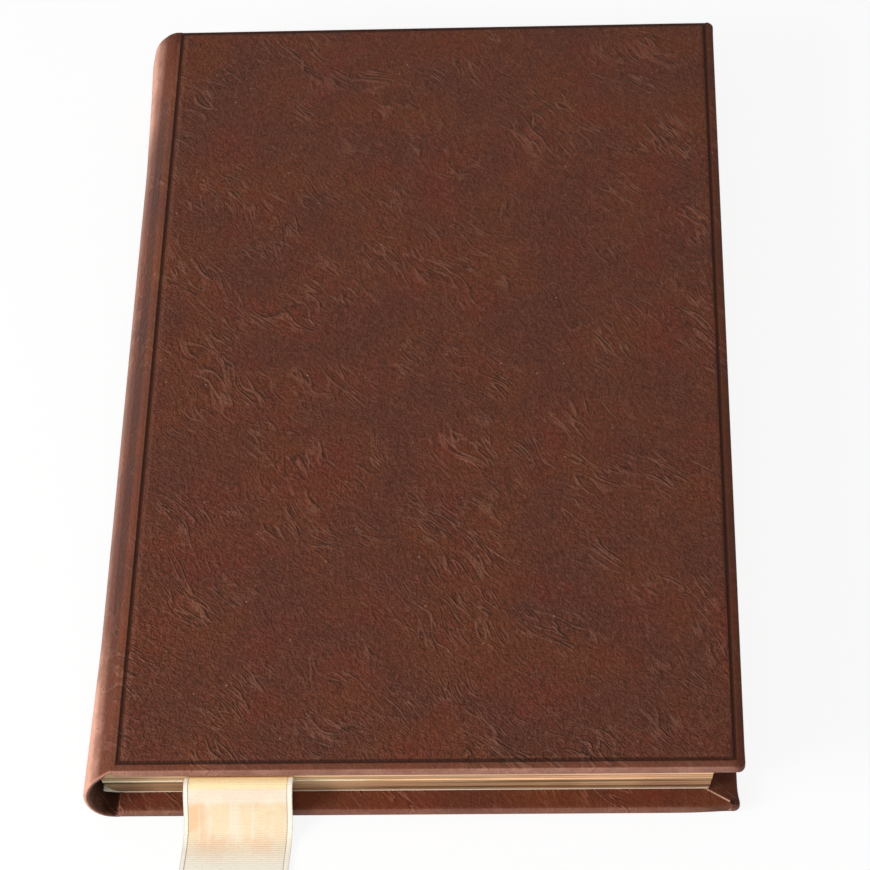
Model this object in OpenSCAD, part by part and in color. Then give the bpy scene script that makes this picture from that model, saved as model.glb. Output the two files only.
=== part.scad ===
// Hardbound leather journal, closed and lying on its back cover.
// Millimetres. X runs from spine to fore edge, Y from tail to head, Z up.
// The origin is the centre of the back cover's outer face.

/* [Pages] */
// width of a leaf from the spine fold to the fore edge
page_w = 140; // [80:1:220]
// height of a leaf
page_h = 216; // [120:1:320]
// thickness of the sewn pages without the endpapers
pages_t = 14.6; // [6:0.1:40]
// how far the rounded back of the pages stands out
back_round = 5.8; // [2:0.1:10]
// how far the top leaf lies nearer to the fore edge than the bottom leaf
page_lean = 2.2; // [0:0.1:4]
// thickness of the endpapers
paper_t = 0.15; // [0.1:0.05:0.4]
// thickness of the cloth and paper glued to the back of the pages
lining_t = 0.4; // [0.2:0.1:1]

/* [Covers] */
// how far the covers stand past the pages at head and tail
square = 5; // [2:0.5:10]
// how far the covers stand past the pages at the fore edge
fore_square = 6; // [2:0.5:12]
// how far the pages reach past the joint edge of the covers
page_overhang = 2.8; // [1:0.1:6]
// how far the front cover lies nearer to the fore edge side than the back cover
cover_lean = 1.1; // [0:0.1:3]
// thickness of the boards
board_t = 2; // [1:0.1:4]
// thickness of the covering leather
leather_t = 0.6; // [0.4:0.1:1.2]
// thickness of the thinned leather that is turned in
turn_in_t = 0.5; // [0.3:0.1:1]
// width of the leather that is turned in over the boards
turn_in_w = 15; // [8:0.5:25]
// radius of the covers' corners at the fore edge
corner_r = 1.6; // [0.8:0.1:6]
// distance of the tooled line from the tail, spine and fore edges
line_inset = 2.2; // [1.5:0.1:8]
// distance of the tooled line from the head edge
line_head = 1; // [0.8:0.1:8]
// width of the tooled line
line_w = 1; // [0.5:0.1:3]
// depth of the tooled line
line_depth = 0.25; // [0.1:0.05:0.4]

/* [Spine] */
// how far the middle of the spine stands out past the covers' joint edge
spine_bulge = 5.5; // [3:0.1:14]
// depth of the spine's curve
spine_round = 7.8; // [5:0.1:16]
// how far the spine's curve leans with the pages
spine_lean = 4.2; // [0:0.1:6]
// how much further the spine stands out at head and tail
spine_flare = 0.9; // [0:0.1:2]
// length over which the spine widens towards head and tail
flare_l = 40; // [10:1:60]
// thickness of the card inside the spine
card_t = 0.4; // [0.2:0.1:1]
// length of the leather turned in at head and tail of the spine
cap_l = 12; // [6:1:20]
// how far below the cover's outer face the spine begins
shoulder_drop = 3.1; // [2:0.1:6]

/* [Ribbon] */
// width of the ribbon
ribbon_w = 25; // [6:1:40]
// thickness of the ribbon
ribbon_t = 0.3; // [0.2:0.05:0.6]
// distance of the ribbon from the joint edge of the covers
ribbon_in = 16; // [5:0.5:60]
// length of ribbon that lies beyond the covers at the tail
ribbon_tail = 55; // [20:1:150]
// height of the ribbon's leaf above the bottom leaf
ribbon_leaf = 4.7; // [3:0.1:12]
// how far the ribbon arches up where it leaves the pages
ribbon_rise = 2.9; // [1.5:0.1:5]
// width over which the pages stand open beside the ribbon
page_gap_w = 66; // [40:1:100]

/* [Clearances] */
// gap between the pages and each cover
sheet_gap = 0.15; // [0.1:0.05:0.5]
// half of the gap in the leather where a cover turns
joint_gap = 0.25; // [0.15:0.05:0.6]
// gap between the ribbon and the leaves
ribbon_gap = 0.12; // [0.1:0.02:0.4]

/* [Hidden] */
$fn = 48;
overlap = 1;
arc_steps = 36;
lip_steps = 8;
head_end = 6;
glue_gap = 0.04;
board_relief = 1.2;
lip_run = 0.9;
mitre_w = 0.3;
mitre_stop = 1.4;

// thickness of a covered board, and the whole book
cover_t = leather_t + board_t + turn_in_t;
side_t = cover_t + 2 * paper_t + sheet_gap;
total_t = pages_t + 2 * side_t;
mid_z = total_t / 2;

// plan sizes
cover_h = page_h + 2 * square;
cover_w = page_w + fore_square - page_overhang;
back_x = -cover_w / 2;
front_x = back_x + cover_lean;
joint_x = (back_x + front_x) / 2;

// pages
fore_x = joint_x + cover_w - fore_square;
pages_x = fore_x - page_w + back_round;
ribbon_z = side_t + ribbon_leaf;
ribbon_x = front_x + ribbon_in;
gap_h = ribbon_t + 2 * ribbon_gap;
// how far a pasted endpaper ends from the cover's fore edge, below the bottom leaf's own edge
paste_square = fore_square + (page_lean - cover_lean) / 2;

// spine section: an ellipse sheared with the lean
spine_x = joint_x - spine_bulge + spine_round;
spine_half = mid_z + paper_t;
shoulder_a = asin((mid_z - shoulder_drop) / spine_half);
gap_a = joint_gap / spine_half * 180 / PI;
flare_k = 1 + spine_flare / spine_round;
shell_t = leather_t + card_t + turn_in_t;

function page_point(a) = [
    pages_x - back_round * cos(a) + page_lean / 2 * sin(a),
    mid_z + pages_t / 2 * sin(a)
];
function lining_point(a, t) = [
    pages_x - (back_round + t) * cos(a) + page_lean / 2 * sin(a),
    mid_z + (pages_t / 2 + t / 4) * sin(a)
];
function spine_point(a, t) = [
    spine_x - (spine_round - t) * cos(a) + spine_lean / 2 * sin(a),
    mid_z + (spine_half - t) * sin(a)
];
function swept(lo, hi, n) = [for (i = [0 : n]) lo + (hi - lo) * i / n];
function flipped(list) = [for (i = [len(list) - 1 : -1 : 0]) list[i]];
function unit(v) = v / norm(v);
function side(v) = [-v[1], v[0]];
function curve(p, q, r, t) = (1 - t) * (1 - t) * p + 2 * t * (1 - t) * q + t * t * r;
function heading(p, q, r, t) = unit((1 - t) * (q - p) + t * (r - q));

// the tangent of the spine at its shoulder, from the middle towards the cover
function shoulder_heading(s) = unit([
    spine_round * sin(shoulder_a) + s * spine_lean / 2 * cos(shoulder_a),
    s * spine_half * cos(shoulder_a)
]);

// draws a section along the whole length, Y from -length / 2 to length / 2
module along(length) {
    rotate([90, 0, 0])
        translate([0, 0, -length / 2])
            linear_extrude(length)
                children();
}

// a plate from x = from to x = w with its two fore-edge corners rounded
module plate(from, w, h, t, r) {
    linear_extrude(t) {
        translate([from, -h / 2]) square([w - r - from, h]);
        translate([from, r - h / 2]) square([w - from, h - 2 * r]);
        translate([w - r, h / 2 - r]) circle(r);
        translate([w - r, r - h / 2]) circle(r);
    }
}

// moves a cover, drawn with its outer face at z = 0, to the front or the back
module as_back() {
    translate([back_x, 0, 0]) children();
}
module as_front() {
    translate([front_x, 0, total_t]) mirror([0, 0, 1]) children();
}

// the tooled frame line, as the cutter for it
module tooled_line() {
    run_x = cover_w - 2 * line_inset;
    run_y = cover_h - line_inset - line_head;
    translate([cover_w / 2, (line_inset - line_head) / 2, 0])
        difference() {
            cube([run_x + line_w, run_y + line_w, 2 * line_depth], center = true);
            cube([run_x - line_w, run_y - line_w, 3 * line_depth], center = true);
        }
}

// the cut where two turn-ins meet at a corner
module mitre(s) {
    reach = (turn_in_w - mitre_stop) * sqrt(2);
    translate([cover_w - mitre_stop, s * (cover_h / 2 - mitre_stop), cover_t - turn_in_t])
        rotate([0, 0, 180 + s * 45])
            translate([0, -mitre_w / 2, 0])
                cube([reach + overlap, mitre_w, turn_in_t + overlap]);
}

// the leather from the joint edge down to the spine's shoulder, as seen on the back cover
module joint_leather(s, edge_x) {
    tip = [spine_point(s * shoulder_a, 0)[0], shoulder_drop];
    dir = shoulder_heading(s);
    lead = [dir[0], -abs(dir[1])];
    bend = tip + lead * (shoulder_drop / abs(lead[1]));
    from = [edge_x + lip_run, 0];
    stop = 1 - joint_gap / norm(tip - bend) / 2;
    ts = swept(0, stop, lip_steps);
    outer = [for (t = ts) curve(from, bend, tip, t)];
    inner = [for (t = ts) curve(from, bend, tip, t) - leather_t * side(heading(from, bend, tip, t))];
    translate([-edge_x, 0, 0])
        along(cover_h)
            polygon(concat(outer, flipped(inner)));
}

module cover_leather(s, edge_x) {
    difference() {
        plate(lip_run, cover_w, cover_h, cover_t, corner_r);
        translate([-overlap, leather_t - cover_h / 2, leather_t])
            cube([cover_w + overlap - leather_t, cover_h - 2 * leather_t, board_t]);
        translate([-overlap, turn_in_w - cover_h / 2, leather_t])
            cube([cover_w + overlap - turn_in_w, cover_h - 2 * turn_in_w, cover_t]);
        mitre(1);
        mitre(-1);
        tooled_line();
    }
    joint_leather(s, edge_x);
}

module cover_board() {
    translate([0, 0, leather_t])
        plate(board_relief, cover_w - leather_t, cover_h - 2 * leather_t, board_t, corner_r - leather_t);
}

// a sheet glued over the board and the turn-ins, stepping down between them
module cover_pastedown() {
    sheet_w = cover_w - paste_square - board_relief;
    tray_w = cover_w - turn_in_w - board_relief;
    tray_h = cover_h - 2 * turn_in_w;
    difference() {
        union() {
            translate([board_relief, -page_h / 2, cover_t]) cube([sheet_w, page_h, paper_t]);
            translate([board_relief, -tray_h / 2, leather_t + board_t])
                cube([tray_w, tray_h, turn_in_t + paper_t]);
        }
        translate([board_relief - overlap, paper_t - tray_h / 2, leather_t + board_t + paper_t])
            cube([tray_w + overlap - paper_t, tray_h - 2 * paper_t, turn_in_t + overlap]);
    }
}

// a slice of the spine's shell between two depths
module shell_section(t0, t1, trim_a) {
    as = swept(-shoulder_a + trim_a, shoulder_a - trim_a, arc_steps);
    outer = [for (a = as) spine_point(a, t0)];
    inner = [for (a = as) spine_point(a, t1)];
    polygon(concat(outer, flipped(inner)));
}

// the shell over its whole length, wider towards head and tail
module shell(t0, t1, trim_a, y0, y1) {
    start = cover_h / 2 - flare_l;
    if (y0 < start)
        for (m = [0, 1])
            mirror([0, m, 0])
                rotate([90, 0, 0])
                    translate([0, 0, -start])
                        linear_extrude(start)
                            shell_section(t0, t1, trim_a);
    k0 = 1 + (flare_k - 1) * max(0, y0 - start) / flare_l;
    k1 = 1 + (flare_k - 1) * (y1 - start) / flare_l;
    low = max(y0, start);
    for (m = [0, 1])
        mirror([0, m, 0])
            translate([spine_x, low, 0])
                mirror([0, 1, 0])
                    rotate([90, 0, 0])
                        linear_extrude(y1 - low, scale = [k1 / k0, 1], slices = 1)
                            scale([k0, 1])
                                translate([-spine_x, 0])
                                    shell_section(t0, t1, trim_a);
}

module spine_leather() {
    color("saddlebrown") {
        shell(0, leather_t, gap_a, 0, cover_h / 2);
        shell(leather_t + card_t, shell_t, 2 * gap_a, cover_h / 2 - cap_l, cover_h / 2);
        shell(0, shell_t, 2 * gap_a, cover_h / 2 - leather_t, cover_h / 2);
    }
}

module spine_card() {
    color("tan")
        shell(leather_t + glue_gap, leather_t + card_t - glue_gap, 3 * gap_a,
            0, cover_h / 2 - leather_t);
}

module front_leather() {
    color("saddlebrown")
        as_front() cover_leather(1, front_x);
}

module back_leather() {
    color("saddlebrown")
        as_back() cover_leather(-1, back_x);
}

module front_board() {
    color("gray")
        as_front() cover_board();
}

module back_board() {
    color("gray")
        as_back() cover_board();
}

module front_pastedown() {
    color("ivory")
        as_front() cover_pastedown();
}

module back_pastedown() {
    color("ivory")
        as_back() cover_pastedown();
}

// the space where the ribbon holds the leaves apart
module page_gap() {
    from_x = front_x + 2;
    flat_x = ribbon_x - ribbon_gap;
    flat_w = ribbon_w + 2 * ribbon_gap;
    polygon([
        [from_x, ribbon_z],
        [flat_x, ribbon_z - gap_h / 2],
        [flat_x + flat_w, ribbon_z - gap_h / 2],
        [from_x + page_gap_w, ribbon_z],
        [flat_x + flat_w, ribbon_z + gap_h / 2],
        [flat_x, ribbon_z + gap_h / 2]
    ]);
}

module text_block() {
    back = [for (a = swept(90, -90, arc_steps)) page_point(a)];
    front = [[fore_x - page_lean / 2, side_t], [fore_x + page_lean / 2, side_t + pages_t]];
    color("goldenrod")
        difference() {
            along(page_h) polygon(concat(back, front));
            translate([0, -head_end, 0]) along(page_h) page_gap();
        }
}

module flyleaf(x, z) {
    translate([x, -page_h / 2, z]) cube([page_w - back_round, page_h, paper_t]);
}

module front_flyleaf() {
    color("ivory")
        flyleaf(pages_x + page_lean / 2, side_t + pages_t);
}

module back_flyleaf() {
    color("ivory")
        flyleaf(pages_x - page_lean / 2, side_t - paper_t);
}

module spine_lining() {
    as = swept(-70, 70, arc_steps);
    color("wheat")
        along(page_h - 2 * square)
            polygon(concat(
                [for (a = as) lining_point(a, lining_t)],
                flipped([for (a = as) lining_point(a, glue_gap)])
            ));
}

// the ribbon's line from the leaves over the back cover's edge to the table
module ribbon_marker() {
    tail_y = -page_h / 2;
    edge_y = -cover_h / 2;
    rest_z = ribbon_t / 2 + ribbon_gap / 2;
    wall_y = tail_y - 0.55;
    top_z = ribbon_z + ribbon_rise;
    out = [tail_y - 0.05, ribbon_z];
    bend = [wall_y, ribbon_z];
    climb = [wall_y, ribbon_z + 0.65];
    turn = [wall_y, top_z - 0.95];
    over = [wall_y, top_z];
    crest = [wall_y - 1.05, top_z];
    brow = [edge_y + 1, top_z];
    mid = [edge_y - 1.5, (top_z + rest_z) / 2];
    foot = [edge_y - 4, rest_z];
    land = [edge_y - 9, rest_z];
    ts = swept(0, 1, lip_steps);
    line = concat(
        [[page_h / 2 - head_end - overlap, ribbon_z]],
        [for (t = ts) curve(out, bend, climb, t)],
        [for (t = ts) curve(turn, over, crest, t)],
        [for (i = [1 : lip_steps]) curve(crest, brow, mid, ts[i])],
        [for (i = [1 : lip_steps]) curve(mid, foot, land, ts[i])],
        [[edge_y - ribbon_tail, rest_z]]
    );
    last = len(line) - 1;
    ways = [for (i = [0 : last]) unit(line[min(i + 1, last)] - line[max(i - 1, 0)])];
    color("cornsilk")
        translate([ribbon_x, 0, 0])
            rotate([90, 0, 90])
                linear_extrude(ribbon_w)
                    polygon(concat(
                        [for (i = [0 : last]) line[i] + ribbon_t / 2 * side(ways[i])],
                        flipped([for (i = [0 : last]) line[i] - ribbon_t / 2 * side(ways[i])])
                    ));
}

text_block();
front_flyleaf();
back_flyleaf();
spine_lining();
ribbon_marker();
spine_leather();
spine_card();
front_leather();
front_board();
front_pastedown();
back_leather();
back_board();
back_pastedown();
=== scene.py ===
"""Looks for a hardbound leather journal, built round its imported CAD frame.

Lengths are named in millimetres, as in the part's source, and become metres where a mesh is made.
X runs from spine to fore edge, Y from tail to head, Z up; the origin is the back cover's outer face.
"""

import logging
import math
import random
from dataclasses import dataclass, field
from enum import Enum
from typing import Callable, Sequence

import bmesh
import bpy
from mathutils import Matrix, Vector, noise


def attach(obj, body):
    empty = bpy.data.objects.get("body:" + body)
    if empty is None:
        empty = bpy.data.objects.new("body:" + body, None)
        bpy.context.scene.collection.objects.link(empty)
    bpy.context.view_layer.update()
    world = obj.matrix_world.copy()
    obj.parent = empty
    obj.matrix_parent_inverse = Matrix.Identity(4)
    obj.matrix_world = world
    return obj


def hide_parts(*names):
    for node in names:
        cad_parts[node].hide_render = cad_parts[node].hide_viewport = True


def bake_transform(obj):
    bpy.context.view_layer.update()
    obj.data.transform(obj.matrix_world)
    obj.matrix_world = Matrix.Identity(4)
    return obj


LOG = logging.getLogger("journal")
MM = 0.001
REST = "place_at_rest"
Colour = tuple[float, float, float]

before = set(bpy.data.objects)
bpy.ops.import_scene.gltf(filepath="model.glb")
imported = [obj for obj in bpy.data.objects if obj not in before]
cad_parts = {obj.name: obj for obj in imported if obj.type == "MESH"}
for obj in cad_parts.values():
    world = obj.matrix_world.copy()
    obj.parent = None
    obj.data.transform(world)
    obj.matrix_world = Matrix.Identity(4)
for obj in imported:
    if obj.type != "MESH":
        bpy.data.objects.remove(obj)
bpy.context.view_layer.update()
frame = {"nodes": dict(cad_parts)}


# ---------------------------------------------------------------- sizes


class Side(Enum):
    """Which cover a piece belongs to, with the sign of its spine angle."""

    FRONT = 1
    BACK = -1


@dataclass(frozen=True)
class Sizes:
    """The journal's sizes in millimetres, the same as in the part's source."""

    page_w: float = 140.0
    page_h: float = 216.0
    pages_t: float = 14.6
    back_round: float = 5.8
    page_lean: float = 2.2
    paper_t: float = 0.15
    square: float = 5.0
    fore_square: float = 6.0
    page_overhang: float = 2.8
    cover_lean: float = 1.1
    board_t: float = 2.0
    leather_t: float = 0.6
    turn_in_t: float = 0.5
    turn_in_w: float = 15.0
    corner_r: float = 1.6
    line_inset: float = 2.2
    line_head: float = 1.0
    line_w: float = 1.0
    line_depth: float = 0.25
    spine_bulge: float = 5.5
    spine_round: float = 7.8
    spine_lean: float = 4.2
    spine_flare: float = 0.9
    flare_l: float = 40.0
    cap_l: float = 12.0
    shoulder_drop: float = 3.1
    ribbon_w: float = 25.0
    ribbon_t: float = 0.3
    ribbon_in: float = 16.0
    ribbon_tail: float = 55.0
    ribbon_leaf: float = 4.7
    ribbon_rise: float = 2.9
    sheet_gap: float = 0.15
    ribbon_gap: float = 0.12
    lip_run: float = 0.9
    head_end: float = 6.0

    @property
    def cover_t(self) -> float:
        """Thickness of a covered board."""
        return self.leather_t + self.board_t + self.turn_in_t

    @property
    def side_t(self) -> float:
        """Height of the bottom leaf above the table."""
        return self.cover_t + 2 * self.paper_t + self.sheet_gap

    @property
    def total_t(self) -> float:
        """Thickness of the closed journal."""
        return self.pages_t + 2 * self.side_t

    @property
    def mid_z(self) -> float:
        """Height of the middle of the journal."""
        return self.total_t / 2

    @property
    def cover_h(self) -> float:
        """Height of a cover, tail to head."""
        return self.page_h + 2 * self.square

    @property
    def cover_w(self) -> float:
        """Width of a cover's board."""
        return self.page_w + self.fore_square - self.page_overhang

    @property
    def back_x(self) -> float:
        """Joint edge of the back board."""
        return -self.cover_w / 2

    @property
    def front_x(self) -> float:
        """Joint edge of the front board."""
        return self.back_x + self.cover_lean

    def joint_edge(self, side: Side | None) -> float:
        """Joint edge of one board; the spine takes the back one's."""
        return self.front_x if side is Side.FRONT else self.back_x

    def outer_z(self, side: Side) -> float:
        """Height of one cover's outer face."""
        return self.total_t if side is Side.FRONT else 0.0

    @property
    def joint_x(self) -> float:
        """Middle of the two joint edges."""
        return (self.back_x + self.front_x) / 2

    @property
    def fore_x(self) -> float:
        """Fore edge of the leaves at mid-height."""
        return self.joint_x + self.cover_w - self.fore_square

    @property
    def pages_x(self) -> float:
        """Where the rounded back of the leaves begins."""
        return self.fore_x - self.page_w + self.back_round

    @property
    def spine_x(self) -> float:
        """Centre of the spine's curve."""
        return self.joint_x - self.spine_bulge + self.spine_round

    @property
    def spine_half(self) -> float:
        """Half of the spine's curve, upwards."""
        return self.mid_z + self.paper_t

    @property
    def shoulder_a(self) -> float:
        """Angle of the spine's shoulder, in radians."""
        return math.asin((self.mid_z - self.shoulder_drop) / self.spine_half)

    @property
    def ribbon_z(self) -> float:
        """Height of the leaf that the ribbon lies on."""
        return self.side_t + self.ribbon_leaf

    @property
    def ribbon_x(self) -> float:
        """Spine side of the ribbon."""
        return self.front_x + self.ribbon_in


SIZES = Sizes()
# How thick the folded leather is at the spine's ends and at a joint's lip, in millimetres.
TAIL_WALL = 1.5
LIP_WALL = 1.1
# Where a mitre's seam starts, in from both edges, and how fast it runs in from the end for each millimetre
# in from the fore edge.
MITRE_AT = 1.25
MITRE_SLOPE = 0.61


@dataclass(frozen=True)
class SpineCurve:
    """The spine's leaning, flared section.

    Args:
        s: The journal's sizes.
    """

    s: Sizes = SIZES

    def point(self, angle: float, depth: float = 0.0) -> tuple[float, float]:
        """Gives a point of the section.

        Args:
            angle: Angle from mid-height in radians, upwards positive.
            depth: Distance in from the leather's outer face.

        Returns:
            The point's x and z.
        """
        s = self.s
        x = s.spine_x - (s.spine_round - depth) * math.cos(angle)
        return x + s.spine_lean / 2 * math.sin(angle), s.mid_z + (s.spine_half - depth) * math.sin(angle)

    def flare(self, x: float, y: float) -> float:
        """Moves x outwards towards head and tail.

        Args:
            x: The place without flare.
            y: The distance from mid-length.

        Returns:
            The place with flare.
        """
        s = self.s
        reach = max(0.0, abs(y) - (s.cover_h / 2 - s.flare_l)) / s.flare_l
        return x + min(0.0, x - s.spine_x) * s.spine_flare / s.spine_round * reach

    def lip(self, side: Side, steps: int) -> list[tuple[float, float]]:
        """Gives the joint's curve from the board down to the spine's shoulder.

        Args:
            side: Which cover.
            steps: How many steps the curve has.

        Returns:
            Its points, x and z, the board's first.
        """
        s = self.s
        sign = side.value
        outer_z = s.outer_z(side)
        tip = Vector(self.point(sign * s.shoulder_a))
        way = Vector((
            s.spine_round * math.sin(s.shoulder_a) + sign * s.spine_lean / 2 * math.cos(s.shoulder_a),
            sign * s.spine_half * math.cos(s.shoulder_a),
        )).normalized()
        bend = tip + way * ((outer_z - tip.y) / way.y)
        start = Vector((s.joint_edge(side) + s.lip_run, outer_z))
        points = []
        for i in range(steps + 1):
            t = i / steps
            p = (1 - t) ** 2 * start + 2 * t * (1 - t) * bend + t * t * tip
            points.append((p.x, p.y))
        return points


# ---------------------------------------------------------------- modelling bench


class Bench:
    """Blender's modelling tools, used the way a hand would use them."""

    @staticmethod
    def clear() -> None:
        """Leaves edit mode and deselects everything."""
        if bpy.context.object and bpy.context.object.mode != "OBJECT":
            bpy.ops.object.mode_set(mode="OBJECT")
        bpy.ops.object.select_all(action="DESELECT")

    @staticmethod
    def named(name: str) -> bpy.types.Object:
        """Names the active object and its mesh, and returns it."""
        obj = bpy.context.object
        obj.name = name
        obj.data.name = name
        return obj

    @staticmethod
    def grid(name: str, across: int, along: int) -> bpy.types.Object:
        """Adds a grid of unit size, flat round the origin."""
        Bench.clear()
        bpy.ops.mesh.primitive_grid_add(x_subdivisions=across, y_subdivisions=along, size=1.0)
        return Bench.named(name)

    @staticmethod
    def only(obj: bpy.types.Object) -> None:
        """Makes one object the selected and active one."""
        Bench.clear()
        obj.select_set(True)
        bpy.context.view_layer.objects.active = obj

    @staticmethod
    def edit(obj: bpy.types.Object, kind: str = "VERT") -> None:
        """Opens an object in edit mode with nothing selected."""
        Bench.only(obj)
        bpy.ops.object.mode_set(mode="EDIT")
        bpy.ops.mesh.select_mode(type=kind)
        bpy.ops.mesh.select_all(action="DESELECT")

    @staticmethod
    def done() -> None:
        """Goes back to object mode."""
        bpy.ops.object.mode_set(mode="OBJECT")

    @staticmethod
    def pick_edges(obj: bpy.types.Object, wanted: Callable[[bmesh.types.BMEdge], bool]) -> None:
        """Selects edges in edit mode.

        Args:
            obj: The object in edit mode.
            wanted: Says whether an edge is selected.
        """
        bpy.ops.mesh.select_mode(type="EDGE")
        bpy.ops.mesh.select_all(action="DESELECT")
        mesh = bmesh.from_edit_mesh(obj.data)
        for edge in [e for e in mesh.edges if wanted(e)]:
            edge.select_set(True)
        bmesh.update_edit_mesh(obj.data)

    @staticmethod
    def extrude_edges(obj: bpy.types.Object, place: Callable[[int], Vector], tag: str) -> None:
        """Extrudes the selected edges and puts each new point in its place.

        Args:
            obj: The object in edit mode.
            place: Gives a new point from its tag.
            tag: The vertex attribute that holds the tag.
        """
        bpy.ops.mesh.extrude_region_move()
        mesh = bmesh.from_edit_mesh(obj.data)
        layer = mesh.verts.layers.int[tag]
        for vert in mesh.verts:
            if vert.select:
                vert.co = place(vert[layer])
        bmesh.update_edit_mesh(obj.data)

    @staticmethod
    def finish(obj: bpy.types.Object, name: str, kind: str, **settings: object) -> None:
        """Adds a modifier and applies it.

        Args:
            obj: The object.
            name: The modifier's name.
            kind: The modifier's type.
            **settings: Its settings.
        """
        Bench.only(obj)
        modifier = obj.modifiers.new(name, kind)
        for key, value in settings.items():
            setattr(modifier, key, value)
        bpy.ops.object.modifier_apply(modifier=modifier.name)

    @staticmethod
    def smooth(obj: bpy.types.Object, degrees: float = 35.0) -> None:
        """Shades smooth where faces meet at less than an angle."""
        Bench.only(obj)
        bpy.ops.object.shade_smooth_by_angle(angle=math.radians(degrees))

    @staticmethod
    def outwards(obj: bpy.types.Object) -> None:
        """Merges doubles and turns a closed mesh's faces outwards."""
        Bench.edit(obj)
        bpy.ops.mesh.select_all(action="SELECT")
        bpy.ops.mesh.remove_doubles(threshold=1e-6)
        bpy.ops.mesh.normals_make_consistent(inside=False)
        Bench.done()

    @staticmethod
    def remember(obj: bpy.types.Object) -> None:
        """Keeps each point's place at rest, in millimetres, so that patterns stay on a piece that bends."""
        places = obj.data.attributes.new(REST, "FLOAT_VECTOR", "POINT")
        places.data.foreach_set("vector", [c / MM for v in obj.data.vertices for c in v.co])

    @staticmethod
    def dress(obj: bpy.types.Object, material: bpy.types.Material) -> None:
        """Gives an object one material."""
        obj.data.materials.clear()
        obj.data.materials.append(material)


def spaced(*stretches: tuple[float, float, int]) -> list[float]:
    """Gives stations along a line.

    Args:
        *stretches: Start, end and number of steps of each stretch, in order.

    Returns:
        The stations, each once.
    """
    stations: list[float] = []
    for start, end, steps in stretches:
        first = 0 if not stations else 1
        stations += [start + (end - start) * i / steps for i in range(first, steps + 1)]
    return stations


def eased(t: float) -> float:
    """Gives a smooth step from 0 to 1."""
    t = min(1.0, max(0.0, t))
    return t * t * (3 - 2 * t)


# ---------------------------------------------------------------- shader shop


def srgb(red: float, green: float, blue: float) -> tuple[float, float, float, float]:
    """Turns a display colour, 0 to 255, into a linear one."""
    parts = (c / 255 for c in (red, green, blue))
    return tuple(c / 12.92 if c <= 0.04045 else ((c + 0.055) / 1.055) ** 2.4 for c in parts) + (1.0,)


class Value:
    """A number in a shader on which arithmetic adds Math nodes.

    Args:
        shop: The material being built.
        socket: The output that carries the number.
    """

    def __init__(self, shop: "ShaderShop", socket: bpy.types.NodeSocket) -> None:
        self.shop = shop
        self.socket = socket

    def math(self, operation: str, *others: object) -> "Value":
        """Adds a Math node with this number first."""
        inputs = dict(enumerate((self, *others)))
        return Value(self.shop, self.shop.node("ShaderNodeMath", {"operation": operation}, inputs).outputs[0])

    def __add__(self, other: object) -> "Value":
        return self.math("ADD", other)

    __radd__ = __add__

    def __mul__(self, other: object) -> "Value":
        return self.math("MULTIPLY", other)

    __rmul__ = __mul__

    def __sub__(self, other: object) -> "Value":
        return self.math("SUBTRACT", other)

    def __rsub__(self, other: object) -> "Value":
        return (self * -1.0) + other

    def __truediv__(self, other: object) -> "Value":
        return self.math("DIVIDE", other)

    def __neg__(self) -> "Value":
        return self * -1.0

    def __abs__(self) -> "Value":
        return self.math("ABSOLUTE")

    def above(self, other: object) -> "Value":
        """Gives the larger of two numbers."""
        return self.math("MAXIMUM", other)

    def below(self, other: object) -> "Value":
        """Gives the smaller of two numbers."""
        return self.math("MINIMUM", other)

    def step(self, low: float, high: float) -> "Value":
        """Gives 0 below low, 1 above high and a smooth rise between; low may be the higher one."""
        falling = low > high
        inputs = {0: self, 1: min(low, high), 2: max(low, high), 3: float(falling), 4: float(not falling)}
        node = self.shop.node("ShaderNodeMapRange", {"interpolation_type": "SMOOTHSTEP"}, inputs)
        return Value(self.shop, node.outputs[0])


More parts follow.
